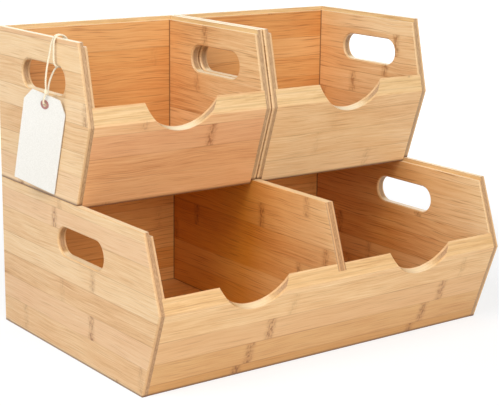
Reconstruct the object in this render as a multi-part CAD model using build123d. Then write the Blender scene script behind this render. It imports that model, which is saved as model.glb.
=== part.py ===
"""Stacking bamboo storage bins: one wide bin with two compartments carries two small bins.

Every bin is a box of three-ply bamboo boards. Its sides run forward to a nose: below the nose
the front board leans out, above it the sides slope back to the rim. The rim of each bin is
stepped, so the tongue below the next bin drops inside an outer lip. A card tag hangs by a
string from the rail above one hand slot.

Millimetres. The origin is at floor level, under the middle of the box that the bins fill;
+Z is up, -Y is the open front and +X is to the right as one faces that front.
"""
from build123d import *
from dataclasses import dataclass
from math import cos, radians, sin, tan
import os

# ---- boards ---------------------------------------------------------------------------------
PLY = 9.0               # thickness of every upright board
BASE_PLY = 6.0          # thickness of the floor board of a bin
BASE_LIFT = 6.0         # air under a floor board
BASE_GROOVE = 3.0       # depth of the groove that holds a floor board
DIVIDER_DADO = 4.5      # depth of the groove in the front board that holds the divider
ARRIS = 0.8             # rounding of the outer edges of a board

# ---- stacking rim ---------------------------------------------------------------------------
LIP_WIDTH = 5.4         # outer part of a rim, which the next bin stands on
RIM_STEP = 4.0          # height of the lip above the ledge inside it
STACK_FIT = 0.4         # side and bottom clearance of a tongue inside a lip

# ---- wide bin -------------------------------------------------------------------------------
WIDTH = 400.0           # outside width of the wide bin
WIDE_DEPTH = 284.0      # from the flat back to the nose
WIDE_FOOT_SETBACK = 28.0    # foot of the front board behind the nose
WIDE_RIM_SETBACK = 24.0     # front end of the rim behind the nose
WIDE_NOSE_HEIGHT = 80.0
WIDE_HEIGHT = 147.0
WIDE_SLOT_SETBACK = 153.0   # middle of the hand slot, from the back of the bin

# ---- small bins -----------------------------------------------------------------------------
BIN_GAP = 1.6           # air between the two small bins
SMALL_DEPTH = 172.0
SMALL_FOOT_SETBACK = 24.0
SMALL_RIM_SETBACK = 17.0
SMALL_NOSE_HEIGHT = 74.0
SMALL_HEIGHT = 147.0
SMALL_SLOT_SETBACK = 90.0

# ---- hand slots and finger scoops -----------------------------------------------------------
SLOT_LENGTH = 82.0
SLOT_HEIGHT = 27.0
SLOT_DROP = 38.0        # middle of a hand slot below the rim
SLOT_BEVEL = 1.1        # bevel round a slot's two mouths
SCOOP_RADIUS = 42.0
SCOOP_DEPTH = 12.5      # lowest point of a scoop below the nose, along the front board

# ---- tag ------------------------------------------------------------------------------------
TAG_WIDTH = 46.0
TAG_LENGTH = 92.0
TAG_CLIP_ACROSS = 7.5   # width of the cut across each top corner
TAG_CLIP_DOWN = 11.5    # height of the same cut
TAG_CARD = 0.8          # thickness of the card
TAG_HOLE_DROP = 9.5     # middle of the hole below the top edge
TAG_HOLE_RADIUS = 2.4
TAG_RING_RADIUS = 4.4
TAG_RING = 0.4          # thickness of the reinforcing ring
TAG_LEAN = 17.0         # degrees that the foot of the card hangs back
TAG_TWIST = 25.0        # degrees that its rear edge stands away from the bin
TAG_CLEARANCE = 0.6     # front edge of the card to the bin
TAG_HOLE_Y = 28.8
TAG_HOLE_Z = 235.2
STRING_DIAMETER = 1.8
STRING_FACES = 8        # flats round the string
KNOT_RADIUS = 2.2
KNOT_LENGTH = 4.4

# The string's route: from its knot above the card, twice round the rail between the rim and the
# hand slot, down behind the card, through its hole and up its face to the knot.
STRING_ROUTE = [
    (-212.5, 23.0, 248.5),
    (-212.2, 24.4, 255.0),
    (-210.0, 26.2, 265.0),
    (-206.5, 27.8, 277.0),
    (-203.2, 28.6, 289.2),
    (-199.6, 28.8, 296.4),
    (-192.6, 29.1, 296.6),
    (-188.9, 29.1, 291.6),
    (-188.3, 28.9, 283.6),
    (-188.2, 28.5, 276.4),
    (-188.7, 28.2, 270.4),
    (-192.2, 27.9, 266.8),
    (-199.2, 27.5, 266.6),
    (-202.8, 27.1, 270.2),
    (-203.2, 26.6, 277.0),
    (-202.7, 26.1, 284.4),
    (-202.4, 25.8, 291.2),
    (-199.5, 25.6, 296.4),
    (-192.6, 25.6, 296.6),
    (-188.9, 25.5, 291.6),
    (-188.3, 25.3, 283.6),
    (-188.2, 25.0, 276.4),
    (-188.7, 24.8, 270.4),
    (-192.0, 24.7, 267.0),
    (-198.6, 24.7, 267.0),
    (-203.3, 25.1, 262.6),
    (-206.5, 25.6, 254.8),
    (-208.0, 26.3, 246.2),
    (-208.1, 29.6, 237.0),
    (-213.3, 28.0, 235.4),
    (-213.6, 25.6, 241.2),
    (-212.5, 23.2, 246.4),
]
ROUTE_SHARE = 0.45      # share of the shorter run beside a corner that its arc takes up

SHOULDER = LIP_WIDTH + STACK_FIT        # outer part of a board that stands on a lip
BACK = WIDE_DEPTH / 2                   # y of the flat back that all bins share
REACH = 2 * (WIDTH + WIDE_DEPTH)        # longer than anything here, for cutters


@dataclass
class Bin:
    """The sizes and place of one bin. Depths are forward of the flat back."""

    left: float
    width: float
    sill: float
    depth: float
    foot_setback: float
    rim_setback: float
    nose_height: float
    height: float
    slot_setback: float
    tongue: float

    @property
    def right(self):
        return self.left + self.width

    @property
    def rim(self):
        return self.sill + self.height

    @property
    def base_top(self):
        return self.sill + BASE_LIFT + BASE_PLY

    @property
    def nose(self):
        return (BACK - self.depth, self.sill + self.nose_height)

    @property
    def rim_end(self):
        return (BACK - self.depth + self.rim_setback, self.rim)

    @property
    def front_slope(self):
        """Forward lean of the front board, as run over rise."""
        return self.foot_setback / self.nose_height

    @property
    def upper_slope(self):
        """Backward lean of the side's edge above the nose, as run over rise."""
        return self.rim_setback / (self.height - self.nose_height)

    @property
    def front_cos(self):
        return (1 + self.front_slope**2) ** -0.5

    def front_y(self, z, inset=0.0):
        """y of the plane `inset` behind the front board's outer face, at height z."""
        outer = self.nose[0] + self.front_slope * (self.nose[1] - z)
        return outer + inset / self.front_cos

    def upper_y(self, z):
        """y of the sloping edge above the nose, at height z."""
        return self.nose[0] + self.upper_slope * (z - self.nose[1])

    def bevel_point(self, inset):
        """Where the plane `inset` behind the front face meets the slope above the nose."""
        rise = inset / (self.front_cos * (self.front_slope + self.upper_slope))
        z = self.nose[1] + rise
        return (self.upper_y(z), z)


def prism(points, x_start, x_end):
    """A (y, z) outline carried along X."""
    outline = make_face(Polyline(*points, close=True).edges())
    return extrude(Plane.YZ.offset(x_start) * outline, amount=x_end - x_start)


def block(x_start, x_end, y_start, y_end, z_start, z_end):
    size = (x_end - x_start, y_end - y_start, z_end - z_start)
    middle = ((x_start + x_end) / 2, (y_start + y_end) / 2, (z_start + z_end) / 2)
    return Pos(*middle) * Box(*size)


def on_plane(edges, axis, value, tolerance=1e-4):
    """The edges that lie in the plane where `axis` reads `value`."""
    picked = []
    for edge in edges:
        box = edge.bounding_box()
        low = getattr(box.min, axis)
        high = getattr(box.max, axis)
        if abs(low - value) < tolerance and abs(high - value) < tolerance:
            picked.append(edge)
    return picked


# ---- blanks: the plain volume of each board, before its neighbours are let into it ------------
def front_blank(bin_):
    low = bin_.sill - bin_.tongue
    outline = [
        (bin_.front_y(low), low),
        bin_.nose,
        bin_.bevel_point(PLY),
        (bin_.front_y(low, PLY), low),
    ]
    return prism(outline, bin_.left + SHOULDER, bin_.right - SHOULDER)


def back_blank(bin_):
    return block(
        bin_.left + SHOULDER, bin_.right - SHOULDER,
        BACK - PLY, BACK,
        bin_.sill - bin_.tongue, bin_.rim,
    )


def base_blank(bin_):
    low = bin_.sill + BASE_LIFT
    high = bin_.base_top
    rear = BACK - PLY + BASE_GROOVE
    inset = PLY - BASE_GROOVE
    outline = [
        (rear, low),
        (bin_.front_y(low, inset), low),
        (bin_.front_y(high, inset), high),
        (rear, high),
    ]
    return prism(outline, bin_.left + inset, bin_.right - inset)


def divider_blank(bin_):
    inset = PLY - DIVIDER_DADO
    low = bin_.base_top
    outline = [
        (BACK - LIP_WIDTH, low),
        (bin_.front_y(low, inset), low),
        bin_.bevel_point(inset),
        bin_.rim_end,
        (BACK - LIP_WIDTH, bin_.rim),
    ]
    middle = (bin_.left + bin_.right) / 2
    return prism(outline, middle - PLY / 2, middle + PLY / 2)


def rim_cut(bin_):
    """What is taken off inside the lips, round the back and both sides."""
    return block(
        bin_.left + LIP_WIDTH, bin_.right - LIP_WIDTH,
        BACK - REACH, BACK - LIP_WIDTH,
        bin_.rim - RIM_STEP, bin_.rim + RIM_STEP,
    )


def slot_cut(bin_):
    place = Plane.YZ * Pos(BACK - bin_.slot_setback, bin_.rim - SLOT_DROP)
    return extrude(place * SlotOverall(SLOT_LENGTH, SLOT_HEIGHT), amount=REACH, both=True)


def scoop_cut(bin_, middle):
    """A cylinder square to the front board, which leaves a finger scoop in its top edge."""
    facing = Plane(
        origin=(middle, *bin_.nose),
        x_dir=(1, 0, 0),
        z_dir=(0, -1, -bin_.front_slope),
    )
    disc = facing * Pos(0, SCOOP_RADIUS - SCOOP_DEPTH) * Circle(SCOOP_RADIUS)
    return extrude(disc, amount=3 * PLY, both=True)


# ---- boards ---------------------------------------------------------------------------------
def side(bin_, outer_x, inward):
    """A side board; `inward` is +1 or -1, from its outer face towards the bin's middle."""
    inner_x = outer_x + inward * PLY
    shoulder_x = outer_x + inward * SHOULDER
    outline = [
        (BACK, bin_.sill),
        (bin_.front_y(bin_.sill), bin_.sill),
        bin_.nose,
        bin_.rim_end,
        (BACK, bin_.rim),
    ]
    board = prism(outline, min(outer_x, inner_x), max(outer_x, inner_x))
    board = fillet(on_plane(board.edges(), "X", outer_x), ARRIS)
    slope = [
        edge for edge in on_plane(board.edges(), "X", inner_x)
        if bin_.sill + bin_.nose_height < edge.center().Z < bin_.rim - ARRIS
        and edge.center().Y < BACK - PLY
    ]
    board = fillet(slope, ARRIS)
    if bin_.tongue > 0:
        low = bin_.sill - bin_.tongue
        tongue_outline = [
            (BACK - SHOULDER, low),
            (bin_.front_y(low), low),
            (bin_.front_y(bin_.sill), bin_.sill),
            (BACK - SHOULDER, bin_.sill),
        ]
        board += prism(tongue_outline, min(shoulder_x, inner_x), max(shoulder_x, inner_x))
    board -= rim_cut(bin_)
    board -= front_blank(bin_) + back_blank(bin_) + base_blank(bin_)
    board -= slot_cut(bin_)
    slot_y = BACK - bin_.slot_setback
    slot_z = bin_.rim - SLOT_DROP
    mouths = [
        edge
        for edge in on_plane(board.edges(), "X", outer_x) + on_plane(board.edges(), "X", inner_x)
        if abs(edge.center().Y - slot_y) <= SLOT_LENGTH / 2 + PLY / 2
        and abs(edge.center().Z - slot_z) <= SLOT_HEIGHT / 2 + ARRIS / 2
    ]
    return chamfer(mouths, SLOT_BEVEL)


def front(bin_, scoops, dividers=()):
    board = front_blank(bin_)
    outer_edges = [
        edge for edge in board.edges().filter_by(Axis.X)
        if abs(edge.center().Y - bin_.front_y(edge.center().Z)) < PLY / 4
    ]
    board = fillet(outer_edges, ARRIS)
    board -= base_blank(bin_)
    for divider in dividers:
        board -= divider
    for middle in scoops:
        board -= scoop_cut(bin_, middle)
    return board


def back(bin_, dividers=()):
    board = back_blank(bin_)
    if bin_.tongue > 0:
        board -= block(
            bin_.left, bin_.right,
            BACK - SHOULDER, BACK + PLY,
            bin_.sill - 2 * bin_.tongue, bin_.sill,
        )
    outer_edges = on_plane(board.edges().filter_by(Axis.X), "Y", BACK)
    board = fillet(outer_edges, ARRIS)
    board -= rim_cut(bin_)
    board -= base_blank(bin_)
    for divider in dividers:
        board -= divider
    return board


def divider(bin_):
    board = divider_blank(bin_)
    face_edges = []
    middle = (bin_.left + bin_.right) / 2
    for face_x in (middle - PLY / 2, middle + PLY / 2):
        for edge in on_plane(board.edges(), "X", face_x):
            if edge.center().Z > bin_.bevel_point(PLY)[1]:
                face_edges.append(edge)
    top_edges = [edge for edge in face_edges if edge.center().Y < BACK - PLY]
    return fillet(top_edges, ARRIS)


def export(node, solid):
    solid.label = node
    export_step(solid, f"parts/{node}.step")


# ---- tag ------------------------------------------------------------------------------------
def tag_plane():
    """The card's middle plane at its hole: x towards its front edge, y up, z outwards."""
    lean = radians(TAG_LEAN)
    twist = radians(TAG_TWIST)
    across = Vector(0, -cos(lean), -sin(lean))
    outward = Vector(-cos(twist), 0, 0) + across * sin(twist)
    forward = across * cos(twist) + Vector(sin(twist), 0, 0)
    half_card = TAG_CARD / 2 * cos(twist)
    stand_off = TAG_CLEARANCE + half_card + TAG_WIDTH / 2 * sin(twist)
    hole = (-WIDTH / 2 - stand_off, TAG_HOLE_Y, TAG_HOLE_Z)
    return Plane(origin=hole, x_dir=forward, z_dir=outward)


def tag_card():
    half = TAG_WIDTH / 2
    top = TAG_HOLE_DROP
    foot = top - TAG_LENGTH
    shoulder = top - TAG_CLIP_DOWN
    neck = half - TAG_CLIP_ACROSS
    outline = Polyline(
        (-half, foot), (half, foot), (half, shoulder),
        (neck, top), (-neck, top), (-half, shoulder),
        close=True,
    )
    sheet = make_face(outline.edges()) - Circle(TAG_HOLE_RADIUS)
    return extrude(tag_plane().offset(-TAG_CARD / 2) * sheet, amount=TAG_CARD)


def tag_ring():
    ring = Circle(TAG_RING_RADIUS) - Circle(TAG_HOLE_RADIUS)
    return extrude(tag_plane().offset(TAG_CARD / 2) * ring, amount=TAG_RING)


def string_radii(points):
    """One arc radius for each inner point of the route."""
    radii = []
    for before, corner, after in zip(points, points[1:], points[2:]):
        first = Vector(*corner) - Vector(*before)
        second = Vector(*after) - Vector(*corner)
        half_turn = radians(first.get_angle(second)) / 2
        radii.append(ROUTE_SHARE * min(first.length, second.length) / tan(half_turn))
    return radii


def tag_string():
    radii = string_radii(STRING_ROUTE)
    print("string radii:", " ".join(f"{radius:.1f}" for radius in radii))
    path = FilletPolyline(*STRING_ROUTE, radius=radii)
    outline = RegularPolygon(STRING_DIAMETER / 2, STRING_FACES)
    section = Plane(origin=path @ 0, z_dir=path % 0) * outline
    string = sweep(section, path=path)
    share = string.volume / (outline.area * path.length)
    print(f"string length {path.length:.1f}, volume over section by length {share:.4f}")
    return string


def string_knot(string):
    start = Vector(*STRING_ROUTE[0])
    end = Vector(*STRING_ROUTE[-1])
    place = Plane(origin=(start + end) * 0.5, z_dir=start - end)
    barrel = place * Cylinder(KNOT_RADIUS, KNOT_LENGTH)
    barrel = chamfer(barrel.edges(), KNOT_RADIUS / 3)
    return barrel - string


# ---- assembly -------------------------------------------------------------------------------
TONGUE = RIM_STEP - STACK_FIT
SMALL_WIDTH = (WIDTH - BIN_GAP) / 2

WIDE_BIN = Bin(
    left=-WIDTH / 2,
    width=WIDTH,
    sill=0.0,
    depth=WIDE_DEPTH,
    foot_setback=WIDE_FOOT_SETBACK,
    rim_setback=WIDE_RIM_SETBACK,
    nose_height=WIDE_NOSE_HEIGHT,
    height=WIDE_HEIGHT,
    slot_setback=WIDE_SLOT_SETBACK,
    tongue=0.0,
)


def small_bin(left):
    return Bin(
        left=left,
        width=SMALL_WIDTH,
        sill=WIDE_HEIGHT,
        depth=SMALL_DEPTH,
        foot_setback=SMALL_FOOT_SETBACK,
        rim_setback=SMALL_RIM_SETBACK,
        nose_height=SMALL_NOSE_HEIGHT,
        height=SMALL_HEIGHT,
        slot_setback=SMALL_SLOT_SETBACK,
        tongue=TONGUE,
    )


def export_wide_bin():
    bay = (WIDTH - PLY) / 2 - PLY
    bay_middle = (PLY + bay) / 2
    board = divider_blank(WIDE_BIN)
    export("wide_bin_left_side", side(WIDE_BIN, WIDE_BIN.left, 1))
    export("wide_bin_right_side", side(WIDE_BIN, WIDE_BIN.right, -1))
    export("wide_bin_front", front(WIDE_BIN, (-bay_middle, bay_middle), (board,)))
    export("wide_bin_back", back(WIDE_BIN, (board,)))
    export("wide_bin_floor", base_blank(WIDE_BIN))
    export("wide_bin_divider", divider(WIDE_BIN))


def export_small_bin(name, bin_, outer_is_left):
    sides = {
        "outer": (bin_.left, 1) if outer_is_left else (bin_.right, -1),
        "inner": (bin_.right, -1) if outer_is_left else (bin_.left, 1),
    }
    for place, (face_x, inward) in sides.items():
        export(f"{name}_{place}_side", side(bin_, face_x, inward))
    export(f"{name}_front", front(bin_, ((bin_.left + bin_.right) / 2,)))
    export(f"{name}_back", back(bin_))
    export(f"{name}_floor", base_blank(bin_))


os.makedirs("parts", exist_ok=True)
export_wide_bin()
export_small_bin("left_bin", small_bin(-WIDTH / 2), True)
export_small_bin("right_bin", small_bin(WIDTH / 2 - SMALL_WIDTH), False)
export("tag_card", tag_card())
export("tag_ring", tag_ring())
STRING = tag_string()
export("tag_string", STRING)
export("tag_string_knot", string_knot(STRING))
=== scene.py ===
from math import atan, cos, pi, radians, sin, tau

import bpy
from mathutils import Matrix, Vector


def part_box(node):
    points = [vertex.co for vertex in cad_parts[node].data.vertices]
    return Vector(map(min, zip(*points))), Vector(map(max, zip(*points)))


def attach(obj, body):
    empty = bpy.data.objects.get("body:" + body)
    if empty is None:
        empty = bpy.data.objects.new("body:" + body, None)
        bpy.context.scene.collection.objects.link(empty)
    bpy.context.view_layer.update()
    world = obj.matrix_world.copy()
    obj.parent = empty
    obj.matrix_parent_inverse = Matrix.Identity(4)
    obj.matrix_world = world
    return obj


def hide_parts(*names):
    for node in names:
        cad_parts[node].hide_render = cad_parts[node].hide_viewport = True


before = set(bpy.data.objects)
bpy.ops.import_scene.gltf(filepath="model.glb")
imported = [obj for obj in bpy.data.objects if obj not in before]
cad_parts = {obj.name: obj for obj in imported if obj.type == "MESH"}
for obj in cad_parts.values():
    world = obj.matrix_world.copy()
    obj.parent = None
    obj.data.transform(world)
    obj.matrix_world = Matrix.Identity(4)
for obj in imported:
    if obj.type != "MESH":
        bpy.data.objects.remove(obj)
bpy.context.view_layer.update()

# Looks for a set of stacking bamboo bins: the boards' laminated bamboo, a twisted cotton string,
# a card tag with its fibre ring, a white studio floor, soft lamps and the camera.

MM = 0.001

# ---- sizes of the boards, in millimetres -------------------------------------------------------
PLY = 9.0               # thickness of an upright board
CORE_PLY = 3.8          # thickness of its middle layer
WIDE_NOSE_HEIGHT = 80.0     # from a bin's foot up to the nose of its front board
SMALL_NOSE_HEIGHT = 74.0
WIDE_LEAN = atan(28.0 / WIDE_NOSE_HEIGHT)       # lean of the front board, whose foot is 28 mm back
SMALL_LEAN = atan(24.0 / SMALL_NOSE_HEIGHT)
SMALL_SILL = 147.0      # height that the small bins stand at
STRIP = 23.0            # usual height of the bamboo strips that a face is laid up from
NODE_SPACING = 210.0    # distance between the knuckles of one strip
CORNER_SHADE_REACH = 1.3              # reach of the painted shade line at an inside corner, on each board
CONTACT_SHADE_HEIGHT = 3.0         # height of the painted contact shadow along a bin's foot

# ---- the string's route, in millimetres ----------------------------------------------------------
STRING_ROUTE = [
    (-212.5, 23.0, 248.5),
    (-212.2, 24.4, 255.0),
    (-210.0, 26.2, 265.0),
    (-206.5, 27.8, 277.0),
    (-203.2, 28.6, 289.2),
    (-199.6, 28.8, 296.4),
    (-192.6, 28.8, 296.6),
    (-188.9, 28.3, 291.6),
    (-188.3, 27.4, 283.6),
    (-188.2, 26.2, 276.4),
    (-188.7, 25.2, 270.4),
    (-192.2, 24.8, 268.2),
    (-199.2, 24.7, 268.2),
    (-202.8, 24.8, 270.2),
    (-203.2, 25.0, 277.0),
    (-202.7, 25.4, 284.4),
    (-202.4, 25.6, 291.2),
    (-199.5, 25.6, 296.4),
    (-192.6, 25.8, 296.6),
    (-187.6, 26.0, 291.6),
    (-186.3, 26.8, 283.6),
    (-186.2, 27.8, 276.4),
    (-187.4, 28.4, 269.6),
    (-192.0, 28.4, 268.1),
    (-199.0, 28.4, 268.1),
    (-203.3, 28.3, 261.6),
    (-206.8, 28.0, 253.8),
    (-208.0, 27.8, 246.0),
    (-208.1, 29.6, 237.0),
    (-213.3, 28.0, 235.4),
    (-213.6, 25.6, 241.2),
    (-212.5, 23.2, 246.4),
]


def colour(hex_code, alpha=1.0):
    """An sRGB hex value as the linear colour that a socket takes."""
    channels = [int(hex_code[i:i + 2], 16) / 255 for i in (1, 3, 5)]
    linear = [c / 12.92 if c <= 0.04045 else ((c + 0.055) / 1.055) ** 2.4 for c in channels]
    return (*linear, alpha)


def node(tree, kind, sockets=(), stops=(), **settings):
    """Adds a shader node. Its sockets are given by name or in order, each as a plain value, another
    node's socket, or a node, which stands for its first working output. Stops are a colour ramp's
    own (position, hex) pairs."""
    made = tree.nodes.new(kind if kind.startswith("Node") else f"ShaderNode{kind}")
    for name, value in settings.items():
        setattr(made, name, value)
    if stops:
        elements = made.color_ramp.elements
        while len(elements) < len(stops):
            elements.new(0.5)
        for element, (place, hex_code) in zip(elements, stops):
            element.position = place
            element.color = colour(hex_code)
    for key, value in sockets.items() if isinstance(sockets, dict) else enumerate(sockets):
        if isinstance(value, bpy.types.Node):
            value = next(socket for socket in value.outputs if socket.enabled)
        if isinstance(value, bpy.types.NodeSocket):
            tree.links.new(value, made.inputs[key])
        else:
            made.inputs[key].default_value = value
    return made


def new_material(name):
    made = bpy.data.materials.new(name)
    made.use_nodes = True
    made.node_tree.nodes.clear()
    return made


def wear(obj, material):
    """Gives every slot of the object this material."""
    if not obj.data.materials:
        obj.data.materials.append(material)
    for index in range(len(obj.data.materials)):
        obj.data.materials[index] = material


# ---- camera ------------------------------------------------------------------------------------
CAMERA_PLACE = Vector((-0.7906, -1.0636, 0.4434))
CAMERA_AZIMUTH = radians(-36.51)
CAMERA_ELEVATION = radians(13.63)
CAMERA_ROLL = radians(0.73)
CAMERA_LENS = 99.93     # mm
SENSOR_WIDTH = 36.0     # mm


def make_camera():
    back = Vector((
        sin(CAMERA_AZIMUTH) * cos(CAMERA_ELEVATION),
        -cos(CAMERA_AZIMUTH) * cos(CAMERA_ELEVATION),
        sin(CAMERA_ELEVATION),
    ))
    right = Vector((cos(CAMERA_AZIMUTH), sin(CAMERA_AZIMUTH), 0))
    up = back.cross(right)
    rolled_right = right * cos(CAMERA_ROLL) + up * sin(CAMERA_ROLL)
    rolled_up = back.cross(rolled_right)
    data = bpy.data.cameras.new("camera")
    data.lens = CAMERA_LENS
    data.sensor_width = SENSOR_WIDTH
    data.clip_start = 0.05
    camera = bpy.data.objects.new("camera", data)
    turn = Matrix((rolled_right, rolled_up, back)).transposed().to_4x4()
    camera.matrix_world = Matrix.Translation(CAMERA_PLACE) @ turn
    bpy.context.scene.collection.objects.link(camera)
    bpy.context.scene.camera = camera


# ---- bamboo ------------------------------------------------------------------------------------
GRAIN_LAYERS = (
    # name, scale per mm along, across and into the board, detail, roughness
    ("streak", (0.012, 0.52, 0.52), 5.0, 0.75),
    ("fibre", (0.030, 1.25, 1.25), 3.0, 0.70),      # coarser than real fibres, so that they show
    ("cloud", (0.010, 0.05, 0.05), 1.0, 0.5),
    ("vessel", (0.022, 0.95, 0.95), 1.0, 0.5),
    ("ragged", (0.09, 0.22, 0.22), 2.0, 0.5),
    ("dash", (0.40, 0.20, 0.20), 2.0, 0.5),
    ("core", (1.1, 0.03, 1.3), 3.0, 0.6),
)
INNER_SHIFT = 11.7      # mm, how far the inner layer's strips are set off from the outer layer's
BOARD_SHIFT = 37.3      # mm, how much further up the pattern each next board is cut
STRIP_STRAY = 11.0      # mm, how far the joints between strips stray from even heights
STRAY_PER_MM = 0.041    # how soon that changes up the face
STRIP_SLIDE = 900.0     # mm, how far strips are slid along each other
WAVER = 7.5             # mm, how far fibres waver
WAVER_SCALE = (0.013, 3.1, 0.3)     # per mm along, per strip, per mm into the board
KNUCKLE_RAGGED = 4.5    # mm, how far a knuckle's outline wanders
KNUCKLE_SMUDGE = 8.0    # mm, how far its brown smudge reaches
KNUCKLE_MARKS = 5.5     # mm, how far its short dark marks reach
BOND_LINE = 0.5         # mm, reach of the dark line between two layers
FACE_SHOWS = (0.9, 1.3)     # mm, depth at which the face layer's own colour fades in a cut edge
SKIN = 0.06             # mm, depth that still counts as the face itself
INSIDE_SHADE_DEPTHS = (10.0, 150.0)    # mm behind the mouth, where the painted shade inside a bin begins and where it is full
INSIDE_SHADE_GAIN = 0.80         # how much more painted shade there is there
GRAIN_RELIEF = 0.15     # mm
# how dark the painted shade in a bin's inside corners is
CORNER_SHADE_STRENGTH = 0.72
# how dark the painted contact shadow along a bin's foot is
CONTACT_SHADE_STRENGTH = 0.88

FACE_COLOURS = ((0.05, "#f3d6a9"), (0.38, "#eac592"), (0.62, "#dfb17b"), (0.95, "#b97f45"))
EDGE_COLOURS = ((0.50, "#e4c596"), (0.68, "#dcb883"), (0.86, "#c49861"))
CORE_COLOURS = ((0.30, "#c8a47c"), (0.50, "#b18c64"), (0.70, "#95714b"))
PINKISH_STRIP = "#e4b58c"
VESSEL_BROWN = "#a1682f"
SMUDGE_BROWN = "#a8723a"
MARK_BROWN = "#854c1c"
GLUE_BROWN = "#9c6730"
END_GRAIN = "#cda57a"
# painted highlight on cut edges that look up
TOP_HIGHLIGHT_CREAM = "#fdf0d0"
BOND_BROWN = "#96693a"
# painted shade, for the dark lines in a bin's inside corners and along its foot
SHADE_LINE_BROWN = "#5e3412"
# painted shade inside a bin: a deep honey that its faces are multiplied with
INSIDE_SHADE_HONEY = "#e6b04a"


def bamboo_group():
    """Three-ply laminated bamboo as a solid pattern.

    Point is in millimetres: x along the face grain, y across it, z in from the outer face.
    Facing is the surface's direction in the same frame. The face layers are laid up from strips
    whose fibres run along x, with a knuckle now and then; the core's fibres run up the board.
    Place and Direction are the same two in the object's own frame. Walls says where the middle of
    the bin's inside, its back and its floor are, and Reach how far its side walls and its divider
    stand from that middle, and how high its foot is. Seed picks the board's place in the pattern.
    Deep is what the outside is deepened with, Tone how far, and Fall how much that changes up it.
    Ripe is how deep the painted shade inside the bin gets, and Mouth where it begins. Both is
    1 for a board whose two faces look into the bin.
    """
    tree = bpy.data.node_groups.new("laminated_bamboo", "ShaderNodeTree")
    for name, kind in (
            ("Point", "Vector"), ("Facing", "Vector"), ("Place", "Vector"), ("Direction", "Vector"),
            ("Walls", "Vector"), ("Reach", "Vector"), ("Seed", "Float"), ("Deep", "Color"), ("Tone", "Float"),
            ("Fall", "Float"), ("Ripe", "Float"), ("Mouth", "Float"), ("Both", "Float")):
        tree.interface.new_socket(name, in_out="INPUT", socket_type=f"NodeSocket{kind}")
    for name, kind in (("Color", "Color"), ("Roughness", "Float"), ("Height", "Float")):
        tree.interface.new_socket(name, in_out="OUTPUT", socket_type=f"NodeSocket{kind}")
    given = node(tree, "NodeGroupInput").outputs
    along, across, depth = node(tree, "SeparateXYZ", [given["Point"]]).outputs
    x, y, z = node(tree, "SeparateXYZ", [given["Place"]]).outputs
    facing_along, _, facing_in = node(tree, "SeparateXYZ", [given["Facing"]]).outputs
    faces_x, faces_y, faces_z = [
        node(tree, "Math", [part], operation="ABSOLUTE")
        for part in node(tree, "SeparateXYZ", [given["Direction"]]).outputs]
    seed = given["Seed"]

    # which face layer, and which strip of it: strips are sawn to different heights
    inner = node(tree, "Math", [depth, PLY / 2], operation="GREATER_THAN")
    inside = node(tree, "Math", [inner, given["Both"]], operation="MAXIMUM")
    shifted = node(tree, "Math", [inner, INNER_SHIFT, across], operation="MULTIPLY_ADD")
    shifted = node(tree, "Math", [seed, BOARD_SHIFT, shifted], operation="MULTIPLY_ADD")
    slow = node(tree, "Math", [shifted, STRAY_PER_MM], operation="MULTIPLY")
    uneven = node(tree, "TexNoise", {"W": slow, "Scale": 1.0, "Detail": 0.0}, noise_dimensions="1D")
    strips = node(tree, "Math", [uneven, STRIP_STRAY, shifted], operation="MULTIPLY_ADD")
    strips = node(tree, "Math", [strips, STRIP], operation="DIVIDE")
    strip = node(tree, "Math", [strips], operation="FLOOR")
    in_strip = node(tree, "Math", [strips], operation="FRACT")
    from_middle = node(tree, "Math", [in_strip, 0.5], operation="SUBTRACT")
    draw = node(tree, "CombineXYZ", [strip, inner, seed])
    chance = node(tree, "TexWhiteNoise", [draw], noise_dimensions="3D")
    strip_tone, strip_slide, strip_marks = node(tree, "SeparateColor", [chance.outputs["Color"]]).outputs

    # fibres: streaks that waver a little and break at each strip's edge
    slid = node(tree, "Math", [strip_slide, STRIP_SLIDE, along], operation="MULTIPLY_ADD")
    waving = node(tree, "CombineXYZ", [slid, strip, depth])
    waving = node(tree, "VectorMath", [waving, WAVER_SCALE], operation="MULTIPLY")
    waver = node(tree, "TexNoise", {"Vector": waving, "Scale": 1.0, "Detail": 1.0})
    wavered = node(tree, "Math", [waver, WAVER, shifted], operation="MULTIPLY_ADD")
    fibres = node(tree, "CombineXYZ", [slid, wavered, depth])
    grain = {}
    for layer, scale, detail, roughness in GRAIN_LAYERS:
        scaled = node(tree, "VectorMath", [fibres, scale], operation="MULTIPLY")
        grain[layer] = node(tree, "TexNoise", {
            "Vector": scaled, "Scale": 1.0, "Detail": detail, "Roughness": roughness})

    # tone of the face layers, from 0, pale, to 1, dark; strips inside a bin are less pinkish
    tone = node(tree, "Math", [strip_tone, 0.38, -0.90], operation="MULTIPLY_ADD")
    for layer, weight in (("streak", 1.05), ("fibre", 0.82), ("cloud", 0.36)):
        tone = node(tree, "Math", [grain[layer], weight, tone], operation="MULTIPLY_ADD")
    face = node(tree, "ValToRGB", [tone], stops=FACE_COLOURS)
    pinkish = node(tree, "MapRange", [strip_marks, 0.45, 1.0, 0.0, 0.40])
    outside = node(tree, "MapRange", [inside, 0.0, 1.0, 1.0, 0.15])
    pinkish = node(tree, "Math", [pinkish, outside], operation="MULTIPLY")
    face = node(tree, "Mix", {"Factor": pinkish, "A": face, "B": colour(PINKISH_STRIP)}, data_type="RGBA")

    # single darker vessels in the fibres, plainer inside a bin
    vessels = node(tree, "MapRange", [grain["vessel"], 0.58, 0.74, 0.0, 0.36])
    plainer = node(tree, "MapRange", [inside, 0.0, 1.0, 1.0, 1.8])
    vessels = node(tree, "Math", [vessels, plainer], operation="MULTIPLY")
    face = node(tree, "Mix", {"Factor": vessels, "A": face, "B": colour(VESSEL_BROWN)}, data_type="RGBA")

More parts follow.
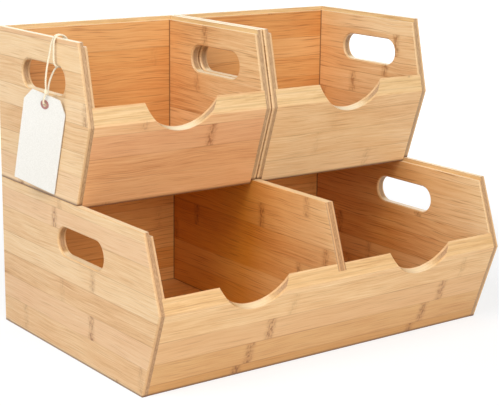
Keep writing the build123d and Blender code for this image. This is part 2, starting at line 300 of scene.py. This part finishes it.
    # knuckles: a soft brown smudge right across a strip, with short dark marks up it
    from_knuckle = node(tree, "Math", [slid, NODE_SPACING], operation="DIVIDE")
    from_knuckle = node(tree, "Math", [from_knuckle], operation="FRACT")
    from_knuckle = node(tree, "Math", [from_knuckle, 0.5], operation="SUBTRACT")
    from_knuckle = node(tree, "Math", [from_knuckle], operation="ABSOLUTE")
    ragged = node(tree, "Math", [grain["ragged"], 2 * KNUCKLE_RAGGED, -KNUCKLE_RAGGED],
                  operation="MULTIPLY_ADD")
    from_knuckle = node(tree, "Math", [from_knuckle, NODE_SPACING, ragged], operation="MULTIPLY_ADD")
    shows = node(tree, "MapRange", [strip_marks, 0.10, 0.70])
    smudge = node(tree, "MapRange", [from_knuckle, 0.5, KNUCKLE_SMUDGE, 0.30, 0.0],
                  interpolation_type="SMOOTHSTEP")
    smudge = node(tree, "Math", [smudge, shows], operation="MULTIPLY")
    face = node(tree, "Mix", {"Factor": smudge, "A": face, "B": colour(SMUDGE_BROWN)}, data_type="RGBA")
    dash = node(tree, "MapRange", [grain["dash"], 0.46, 0.60, 0.0, 0.72])
    at_knuckle = node(tree, "MapRange", [from_knuckle, 0.0, KNUCKLE_MARKS, 1.0, 0.0])
    for share in (at_knuckle, shows):
        dash = node(tree, "Math", [dash, share], operation="MULTIPLY")
    face = node(tree, "Mix", {"Factor": dash, "A": face, "B": colour(MARK_BROWN)}, data_type="RGBA")

    # glue lines between strips, which come and go
    joint = node(tree, "Math", [from_middle], operation="ABSOLUTE")
    joint = node(tree, "MapRange", [joint, 0.478, 0.497])
    comes = node(tree, "MapRange", [grain["cloud"], 0.36, 0.62, 0.08, 0.50])
    joint = node(tree, "Math", [joint, comes], operation="MULTIPLY")
    face = node(tree, "Mix", {"Factor": joint, "A": face, "B": colour(GLUE_BROWN)}, data_type="RGBA")

    # boards differ in tone, and the strips of one board can deepen or pale towards its foot
    strip_height = node(tree, "Math", [from_middle, -STRIP, across], operation="MULTIPLY_ADD")
    deepened = node(tree, "Math", [strip_height, given["Fall"], given["Tone"]],
                    operation="MULTIPLY_ADD", use_clamp=True)
    face = node(tree, "Mix", {"Factor": deepened, "A": face, "B": given["Deep"]}, data_type="RGBA",
                blend_type="MULTIPLY")

    # painted shade: faces that look into a bin are darkened to a deeper honey, the more so the further in
    within = node(tree, "Math", [y, given["Mouth"]], operation="SUBTRACT")
    within = node(tree, "MapRange", [within, *INSIDE_SHADE_DEPTHS])
    shade_inside = node(tree, "Math", [given["Ripe"], INSIDE_SHADE_GAIN], operation="SUBTRACT")
    shade_inside = node(tree, "Math", [within, INSIDE_SHADE_GAIN, shade_inside], operation="MULTIPLY_ADD", use_clamp=True)
    strip_share = node(tree, "Math", [strip_tone, 0.20, 0.90], operation="MULTIPLY_ADD")
    shade_inside = node(tree, "Math", [shade_inside, strip_share], operation="MULTIPLY", use_clamp=True)
    shade_inside = node(tree, "Math", [shade_inside, inside], operation="MULTIPLY")
    face = node(tree, "Mix", {"Factor": shade_inside, "A": face, "B": colour(INSIDE_SHADE_HONEY)}, data_type="RGBA",
                blend_type="MULTIPLY")

    # cut edges: cream, with the layers' own fine lines; greyer where the fibres end, and paler
    # where the edge looks up, a painted highlight
    end_on = node(tree, "Math", [facing_along], operation="ABSOLUTE")
    from_centre = node(tree, "Math", [depth, PLY / 2], operation="SUBTRACT")
    from_centre = node(tree, "Math", [from_centre], operation="ABSOLUTE")
    sawn = node(tree, "Math", [grain["fibre"], 0.35, grain["streak"]], operation="MULTIPLY_ADD")
    edge = node(tree, "ValToRGB", [sawn], stops=EDGE_COLOURS)
    greyer = node(tree, "MapRange", [end_on, 0.50, 0.90, 0.0, 0.65])
    edge = node(tree, "Mix", {"Factor": greyer, "A": edge, "B": colour(END_GRAIN)}, data_type="RGBA")
    # painted highlight: cut edges that look up are paler
    top_highlight = node(tree, "MapRange", [faces_z, 0.80, 0.97, 0.0, 0.80])
    edge = node(tree, "Mix", {"Factor": top_highlight, "A": edge, "B": colour(TOP_HIGHLIGHT_CREAM)}, data_type="RGBA")

    # the core shows its pores between two dark bond lines
    core = node(tree, "ValToRGB", [grain["core"]], stops=CORE_COLOURS)
    in_core = node(tree, "MapRange", [from_centre, CORE_PLY / 2 - 0.1, CORE_PLY / 2 + 0.1, 1.0, 0.0])
    porous = node(tree, "MapRange", [end_on, 0.45, 0.70])
    in_core = node(tree, "Math", [in_core, porous], operation="MULTIPLY")
    edge = node(tree, "Mix", {"Factor": in_core, "A": edge, "B": core}, data_type="RGBA")
    bond = node(tree, "Math", [from_centre, CORE_PLY / 2], operation="SUBTRACT")
    bond = node(tree, "Math", [bond], operation="ABSOLUTE")
    bond = node(tree, "MapRange", [bond, 0.1, BOND_LINE, 1.0, 0.0])
    bond_share = node(tree, "MapRange", [end_on, 0.4, 0.8, 0.20, 0.42])
    bond = node(tree, "Math", [bond, bond_share], operation="MULTIPLY")
    edge = node(tree, "Mix", {"Factor": bond, "A": edge, "B": colour(BOND_BROWN)}, data_type="RGBA")
    # painted shade on the cut edges of boards that sit deep in a bin
    edge_shade = node(tree, "Math", [given["Ripe"], 1.1, -0.68],
                     operation="MULTIPLY_ADD", use_clamp=True)
    edge = node(tree, "Mix", {"Factor": edge_shade, "A": edge, "B": colour(INSIDE_SHADE_HONEY)}, data_type="RGBA",
                blend_type="MULTIPLY")

    # a face of the board shows its layer; anything cut through the board shows the edge
    square_on = node(tree, "Math", [facing_in], operation="ABSOLUTE")
    square_on = node(tree, "MapRange", [square_on, 0.88, 0.96])
    at_face = node(tree, "Math", [from_centre, PLY / 2 - SKIN], operation="GREATER_THAN")
    on_face = node(tree, "Math", [square_on, at_face], operation="MULTIPLY")
    shallow, deeper = FACE_SHOWS
    near_face = node(tree, "MapRange", [from_centre, PLY / 2 - deeper, PLY / 2 - shallow, 0.0, 0.45])
    on_face = node(tree, "Math", [on_face, near_face], operation="MAXIMUM")
    wood = node(tree, "Mix", {"Factor": on_face, "A": edge, "B": face}, data_type="RGBA")

    # painted shade: fine dark lines where the boards of a bin meet on its inside, and a painted
    # contact shadow along its foot
    upright = node(tree, "Math", [1.0, faces_z], operation="SUBTRACT")
    middle, back, base = node(tree, "SeparateXYZ", [given["Walls"]]).outputs
    wall, divider, foot = node(tree, "SeparateXYZ", [given["Reach"]]).outputs
    off_middle = node(tree, "Math", [x, middle], operation="SUBTRACT")
    off_middle = node(tree, "Math", [off_middle], operation="ABSOLUTE")
    corner_shade = 0.0
    for place, board, square in (
            (off_middle, wall, faces_y), (off_middle, divider, faces_y),
            (y, back, faces_x), (z, base, upright)):
        gap = node(tree, "Math", [place, board], operation="SUBTRACT")
        gap = node(tree, "Math", [gap], operation="ABSOLUTE")
        line = node(tree, "MapRange", [gap, 0.3, CORNER_SHADE_REACH, 1.0, 0.0])
        line = node(tree, "Math", [line, square], operation="MULTIPLY")
        corner_shade = node(tree, "Math", [line, corner_shade], operation="MAXIMUM")
    looks_in = node(tree, "Math", [facing_in, -0.5], operation="GREATER_THAN")
    looks_in = node(tree, "Math", [looks_in, given["Both"]], operation="MAXIMUM")
    to_wall = node(tree, "Math", [wall, off_middle], operation="SUBTRACT")
    to_back = node(tree, "Math", [back, y], operation="SUBTRACT")
    above_base = node(tree, "Math", [z, base], operation="SUBTRACT")
    for room in (to_wall, to_back, above_base):
        within_walls = node(tree, "Math", [room, -0.1], operation="GREATER_THAN")
        corner_shade = node(tree, "Math", [corner_shade, within_walls], operation="MULTIPLY")
    corner_shade = node(tree, "Math", [corner_shade, looks_in], operation="MULTIPLY")
    corner_shade = node(tree, "Math", [corner_shade, CORNER_SHADE_STRENGTH], operation="MULTIPLY")
    # painted contact shadow up from the foot, on every face but those that look down
    contact_shade = node(tree, "Math", [z, foot], operation="SUBTRACT")
    contact_shade = node(tree, "MapRange", [contact_shade, 0.8, CONTACT_SHADE_HEIGHT, CONTACT_SHADE_STRENGTH, 0.0])
    unless_under = node(tree, "MapRange", [faces_z, 0.90, 0.99, 1.0, 0.0])
    contact_shade = node(tree, "Math", [contact_shade, unless_under], operation="MULTIPLY")
    line = node(tree, "Math", [corner_shade, contact_shade], operation="MAXIMUM")
    wood = node(tree, "Mix", {"Factor": line, "A": wood, "B": colour(SHADE_LINE_BROWN)}, data_type="RGBA")

    # the lacquer is a little rougher over dark fibres, and sinks into the glue lines
    rough = node(tree, "Math", [grain["streak"], 0.22, 0.38], operation="MULTIPLY_ADD")
    height = node(tree, "Math", [grain["fibre"], 0.6, grain["streak"]], operation="MULTIPLY_ADD")
    height = node(tree, "Math", [joint, -1.2, height], operation="MULTIPLY_ADD")
    node(tree, "NodeGroupOutput", {"Color": wood, "Roughness": rough, "Height": height})
    return tree


def bamboo_material(name, group, origin, along, across, **values):
    """Satin-lacquered bamboo board. The lacquer gives it a soft sheen over straight fibres."""
    depth = along.cross(across)
    turn = Matrix((along, across, depth))
    angles = turn.to_euler()
    place = turn @ origin / MM
    made = new_material(name)
    tree = made.node_tree
    coords = node(tree, "TexCoord").outputs
    millimetres = (1 / MM, 1 / MM, 1 / MM)
    point = node(tree, "Mapping", {
        "Vector": coords["Object"], "Location": -place, "Rotation": angles, "Scale": millimetres})
    facing = node(tree, "Mapping", {"Vector": coords["Normal"], "Rotation": angles},
                  vector_type="VECTOR")
    whole = node(tree, "Mapping", {"Vector": coords["Object"], "Scale": millimetres})
    pattern = node(tree, "Group", node_tree=group, sockets={
        "Point": point, "Facing": facing, "Place": whole, "Direction": coords["Normal"], **values})
    bump = node(tree, "Bump", {
        "Height": pattern.outputs["Height"], "Strength": 0.35, "Distance": GRAIN_RELIEF * MM})
    shader = node(tree, "BsdfPrincipled", {
        "Base Color": pattern.outputs["Color"], "Roughness": pattern.outputs["Roughness"],
        "Normal": bump, "IOR": 1.5, "Coat Weight": 0.12, "Coat Roughness": 0.35})
    node(tree, "OutputMaterial", {"Surface": shader})
    return made


# ---- boards ------------------------------------------------------------------------------------
RIGHTWARDS = Vector((1, 0, 0))
BACKWARDS = Vector((0, 1, 0))
UPWARDS = Vector((0, 0, 1))


def board_frames():
    """For each board: a corner of its outer face, its grain's direction and the way up that face."""
    frames = {}
    for bin_name in ("wide_bin", "left_bin", "right_bin"):
        lean = WIDE_LEAN if bin_name == "wide_bin" else SMALL_LEAN
        front_low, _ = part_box(f"{bin_name}_front")
        back_low, back_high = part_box(f"{bin_name}_back")
        floor_low, floor_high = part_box(f"{bin_name}_floor")
        nose_height = WIDE_NOSE_HEIGHT if bin_name == "wide_bin" else SMALL_SILL + SMALL_NOSE_HEIGHT
        nose = Vector((front_low.x, front_low.y, nose_height * MM))
        frames[f"{bin_name}_front"] = (nose, -RIGHTWARDS, Vector((0, -sin(lean), cos(lean))))
        frames[f"{bin_name}_back"] = (Vector((back_low.x, back_high.y, back_low.z)), RIGHTWARDS, UPWARDS)
        frames[f"{bin_name}_floor"] = (
            Vector((floor_low.x, floor_low.y, floor_high.z - PLY * MM)), RIGHTWARDS, BACKWARDS)
    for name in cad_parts:
        if not name.endswith("side"):
            continue
        low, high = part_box(name)
        if name in ("wide_bin_left_side", "left_bin_outer_side", "right_bin_inner_side"):
            frames[name] = (low, BACKWARDS, UPWARDS)
        else:
            frames[name] = (Vector((high.x, low.y, low.z)), -BACKWARDS, UPWARDS)
    frames["wide_bin_divider"] = (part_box("wide_bin_divider")[0], BACKWARDS, UPWARDS)
    return frames


# what a board's outside is deepened with, how far, and how much that changes per millimetre up it
BOARD_TONES = {
    "wide_bin_front": ("#ddc598", 0.02, -0.0110),
    "left_bin_front": ("#eec3a4", 0.50, -0.003),
    "right_bin_front": ("#efcaa0", 0.05, -0.002),
    "wide_bin_left_side": ("#f4f3f4", 1.0, 0.0),
    "left_bin_outer_side": ("#f4f3f4", 1.0, 0.0),
}
PLAIN_TONE = ("#efc79a", 0.0, 0.0)

# how deep the painted shade inside a bin is, a golden darkening, and any board of it that differs
INSIDE_SHADE = {
    "wide_bin": 0.84, "wide_bin_divider": 1.0, "wide_bin_right_side": 0.74,
    "left_bin": 0.68, "left_bin_inner_side": 0.46,
    "right_bin": 0.68, "right_bin_outer_side": 0.46,
}
NO_DIVIDER = -50.0      # mm, a distance that nothing is at
FIRST_SEED = 61         # where in the endless pattern the first board is cut


def dress_boards():
    group = bamboo_group()
    for seed, (name, frame_of_board) in enumerate(sorted(board_frames().items()), FIRST_SEED):
        bin_name = name.partition("_bin")[0] + "_bin"
        back, front, base = [
            [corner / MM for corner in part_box(f"{bin_name}_{part}")] for part in ("back", "front", "floor")]
        sides = [
            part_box(side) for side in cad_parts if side.startswith(bin_name) and side.endswith("side")]
        left = min(low.x for low, high in sides) / MM
        right = max(high.x for low, high in sides) / MM
        divider = PLY / 2 if bin_name == "wide_bin" else NO_DIVIDER
        foot = 0.0 if bin_name == "wide_bin" else SMALL_SILL
        if name.endswith("front"):
            foot = front[0].z
        deep, tone, fall = BOARD_TONES.get(name, PLAIN_TONE)
        material = bamboo_material(
            f"laminated_3_ply_bamboo_{name}", group, *frame_of_board,
            Walls=((left + right) / 2, back[0].y, base[1].z),
            Reach=((right - left) / 2 - PLY, divider, foot),
            Seed=seed, Deep=colour(deep), Tone=tone, Fall=fall,
            Ripe=INSIDE_SHADE.get(name, INSIDE_SHADE[bin_name]), Mouth=front[0].y,
            Both=float(name.endswith("divider")))
        wear(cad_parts[name], material)


# ---- string ------------------------------------------------------------------------------------
STRANDS = 3
STRAND_RADIUS = 0.47    # mm
STRAND_OFFSET = 0.43    # mm, from the string's middle to a strand's
TWIST_PITCH = 5.5       # mm of string for one turn of its strands
STRAND_SIDES = 8
KNOT_TURNS = 2.6
KNOT_STEPS = 60
KNOT_RADIUS = 1.15      # mm, to the middle of the string
KNOT_LENGTH = 2.7       # mm
TUFT = 1 / 2.6          # mm, from one tuft of the string's fuzz to the next


def route_points():
    """Evenly fine points along the string, read from the route's own smooth curve."""
    data = bpy.data.curves.new("route", "CURVE")
    data.dimensions = "3D"
    data.resolution_u = 24
    spline = data.splines.new("NURBS")
    spline.points.add(len(STRING_ROUTE) - 1)
    for point, place in zip(spline.points, STRING_ROUTE):
        point.co = (*(Vector(place) * MM), 1.0)
    spline.order_u = 3
    spline.use_endpoint_u = True
    carrier = bpy.data.objects.new("route", data)
    bpy.context.scene.collection.objects.link(carrier)
    bpy.context.view_layer.update()
    line = bpy.data.meshes.new_from_object(carrier.evaluated_get(bpy.context.evaluated_depsgraph_get()))
    points = [vertex.co.copy() for vertex in line.vertices]
    bpy.data.objects.remove(carrier)
    bpy.data.curves.remove(data)
    bpy.data.meshes.remove(line)
    return points


def twisted_strands(name, points):
    """Three strands laid round the line, as one mesh of closed tubes."""
    tangents = []
    for index in range(len(points)):
        before = points[max(index - 1, 0)]
        after = points[min(index + 1, len(points) - 1)]
        tangents.append((after - before).normalized())
    side = tangents[0].orthogonal().normalized()
    vertices = []
    faces = []
    rings = [[] for _ in range(STRANDS)]
    travelled = 0.0
    for index, (point, tangent) in enumerate(zip(points, tangents)):
        side = (side - tangent * side.dot(tangent)).normalized()
        other = tangent.cross(side)
        if index:
            travelled += (point - points[index - 1]).length
        for strand in range(STRANDS):
            angle = tau * (travelled / (TWIST_PITCH * MM) + strand / STRANDS)
            outwards = side * cos(angle) + other * sin(angle)
            sideways = tangent.cross(outwards)
            middle = point + outwards * STRAND_OFFSET * MM
            ring = []
            for corner in range(STRAND_SIDES):
                turn = tau * corner / STRAND_SIDES
                ring.append(len(vertices))
                vertices.append(middle + (outwards * cos(turn) + sideways * sin(turn)) * STRAND_RADIUS * MM)
            rings[strand].append(ring)
    for strand_rings in rings:
        for lower, upper in zip(strand_rings, strand_rings[1:]):
            for corner in range(STRAND_SIDES):
                following = (corner + 1) % STRAND_SIDES
                faces.append((lower[corner], lower[following], upper[following], upper[corner]))
        faces.append(tuple(reversed(strand_rings[0])))
        faces.append(tuple(strand_rings[-1]))
    mesh = bpy.data.meshes.new(name)
    mesh.from_pydata(vertices, [], faces)
    mesh.shade_smooth()
    made = bpy.data.objects.new(name, mesh)
    bpy.context.scene.collection.objects.link(made)
    return made


def knot_points():
    """Points of a few close turns, wound where the string's two ends are tied together."""
    first, last = (Vector(STRING_ROUTE[index]) * MM for index in (0, -1))
    axis = (first - last).normalized()
    side = axis.orthogonal().normalized()
    other = axis.cross(side)
    middle = (first + last) / 2
    points = []
    for step in range(KNOT_STEPS + 1):
        share = step / KNOT_STEPS
        angle = tau * KNOT_TURNS * share
        swell = KNOT_RADIUS * (0.55 + 0.45 * sin(pi * share))
        points.append(middle + axis * (share - 0.5) * KNOT_LENGTH * MM
                      + (side * cos(angle) + other * sin(angle)) * swell * MM)
    return points


def twine_material():
    """Undyed cotton twine: matt and slightly fuzzy, cream with darker hollows between the strands."""
    made = new_material("undyed_cotton_twine")
    tree = made.node_tree
    coords = node(tree, "TexCoord").outputs
    fuzz = node(tree, "TexNoise", {"Vector": coords["Object"], "Scale": 1 / (TUFT * MM), "Detail": 3.0})
    tint = node(tree, "ValToRGB", [fuzz], stops=((0.30, "#cdbb95"), (0.50, "#efe4c9"), (0.75, "#fbf5e4")))
    bump = node(tree, "Bump", {"Height": fuzz, "Strength": 0.5, "Distance": 0.1 * MM})
    shader = node(tree, "BsdfPrincipled", {
        "Base Color": tint, "Roughness": 0.9, "Normal": bump, "Sheen Weight": 0.25})
    node(tree, "OutputMaterial", {"Surface": shader})
    return made


def make_string():
    points = route_points()
    string = twisted_strands("twine", points)
    knot = twisted_strands("twine_knot", knot_points())
    twine = twine_material()
    for piece, solid in ((string, "tag_string"), (knot, "tag_string_knot")):
        wear(piece, twine)
        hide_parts(solid)
        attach(piece, "left_bin")


# ---- tag ---------------------------------------------------------------------------------------
CARD_FIBRE = 1 / 0.9    # mm, coarser than real paper fibres, so that they show
RING_FIBRE = 1 / 1.4    # mm, the same in the ring


def card_material():
    """Uncoated white card: matt, with a faint fibre."""
    made = new_material("uncoated_white_card")
    tree = made.node_tree
    coords = node(tree, "TexCoord").outputs
    fibre = node(tree, "TexNoise", {"Vector": coords["Object"], "Scale": 1 / (CARD_FIBRE * MM), "Detail": 4.0})
    tint = node(tree, "ValToRGB", [fibre], stops=((0.30, "#d9d7d0"), (0.70, "#e4e2dc")))
    bump = node(tree, "Bump", {"Height": fibre, "Strength": 0.25, "Distance": 0.05 * MM})
    shader = node(tree, "BsdfPrincipled", {"Base Color": tint, "Roughness": 0.75, "Normal": bump})
    node(tree, "OutputMaterial", {"Surface": shader})
    return made


def ring_material():
    """Pressed fibre ring round the card's hole: dull red and matt, faintly mottled."""
    made = new_material("vulcanised_fibre_ring")
    tree = made.node_tree
    coords = node(tree, "TexCoord").outputs
    fibre = node(tree, "TexNoise", {"Vector": coords["Object"], "Scale": 1 / (RING_FIBRE * MM), "Detail": 3.0})
    tint = node(tree, "ValToRGB", [fibre], stops=((0.30, "#94605a"), (0.70, "#b28179")))
    shader = node(tree, "BsdfPrincipled", {"Base Color": tint, "Roughness": 0.7})
    node(tree, "OutputMaterial", {"Surface": shader})
    return made


def dress_tag():
    wear(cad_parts["tag_card"], card_material())
    wear(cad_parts["tag_ring"], ring_material())


# ---- studio ------------------------------------------------------------------------------------
FLOOR_SIZE = 12.0       # m
FLOOR_GLOW = 0.72       # white that the floor shows of itself; the rest is lamp light, so shadows stay
FLOOR_GREY = (0.80, 0.80, 0.80, 1)      # how much lamp light the floor sends back to the bins
SEEN_GREY = (0.30, 0.30, 0.30, 1)       # the same where it is seen, on top of its glow
GLOW_REACH = (0.30, 1.20)   # m from the middle, over which the glow grows to full white
SKY_LIGHT = 0.24        # even light from all round
WHITE = (1, 1, 1, 1)


def white_to_camera(tree):
    """1 for rays whose white background shows: the camera's own, and those in gloss and glass."""
    path = node(tree, "LightPath").outputs
    seen = node(tree, "Math", [path["Is Camera Ray"], path["Is Glossy Ray"]], operation="MAXIMUM")
    return node(tree, "Math", [seen, path["Is Transmission Ray"]], operation="MAXIMUM")


def make_floor():
    mesh = bpy.data.meshes.new("floor")
    half = FLOOR_SIZE / 2
    corners = [(-half, -half, 0), (half, -half, 0), (half, half, 0), (-half, half, 0)]
    mesh.from_pydata(corners, [], [(0, 1, 2, 3)])
    made = bpy.data.objects.new("floor", mesh)
    bpy.context.scene.collection.objects.link(made)
    material = new_material("white_studio_floor")
    tree = material.node_tree
    seen = white_to_camera(tree)
    tint = node(tree, "Mix", {"Factor": seen, "A": FLOOR_GREY, "B": SEEN_GREY}, data_type="RGBA")
    coords = node(tree, "TexCoord").outputs
    distance = node(tree, "VectorMath", [coords["Object"]], operation="LENGTH").outputs["Value"]
    white = node(tree, "MapRange", [distance, *GLOW_REACH, FLOOR_GLOW, 1.0])
    glow = node(tree, "Math", [seen, white], operation="MULTIPLY")
    matt = node(tree, "BsdfDiffuse", {"Color": tint})
    lit = node(tree, "Emission", {"Color": WHITE, "Strength": glow})
    shader = node(tree, "AddShader", [matt, lit])
    node(tree, "OutputMaterial", {"Surface": shader})
    mesh.materials.append(material)


def make_world():
    world = bpy.data.worlds.new("studio")
    bpy.context.scene.world = world
    world.use_nodes = True
    tree = world.node_tree
    tree.nodes.clear()
    seen = white_to_camera(tree)
    strength = node(tree, "Mix", {"Factor": seen, "A": SKY_LIGHT, "B": 1.0}, data_type="FLOAT")
    light = node(tree, "Background", {"Color": WHITE, "Strength": strength})
    node(tree, "OutputWorld", {"Surface": light})


LAMPS = (
    # name, place, aim, size, power (m and W)
    ("key_softbox", (-1.5, -0.35, 1.5), (0.0, 0.0, 0.1), 1.3, 31.0),
    ("front_fill", (-0.25, -2.05, 1.05), (0.0, 0.0, 0.15), 1.6, 33.0),
    ("rear_fill", (1.3, 2.1, 1.0), (0.0, 0.0, 0.15), 1.8, 14.0),
)


def make_lamps():
    for name, place, aim, size, power in LAMPS:
        data = bpy.data.lights.new(name, "AREA")
        data.size = size
        data.energy = power
        lamp = bpy.data.objects.new(name, data)
        lamp.location = place
        towards = Vector(aim) - Vector(place)
        lamp.rotation_euler = towards.to_track_quat("-Z", "Y").to_euler()
        bpy.context.scene.collection.objects.link(lamp)


bpy.context.scene.view_settings.view_transform = "Standard"
make_camera()
make_string()
dress_tag()
dress_boards()
make_floor()
make_world()
make_lamps()
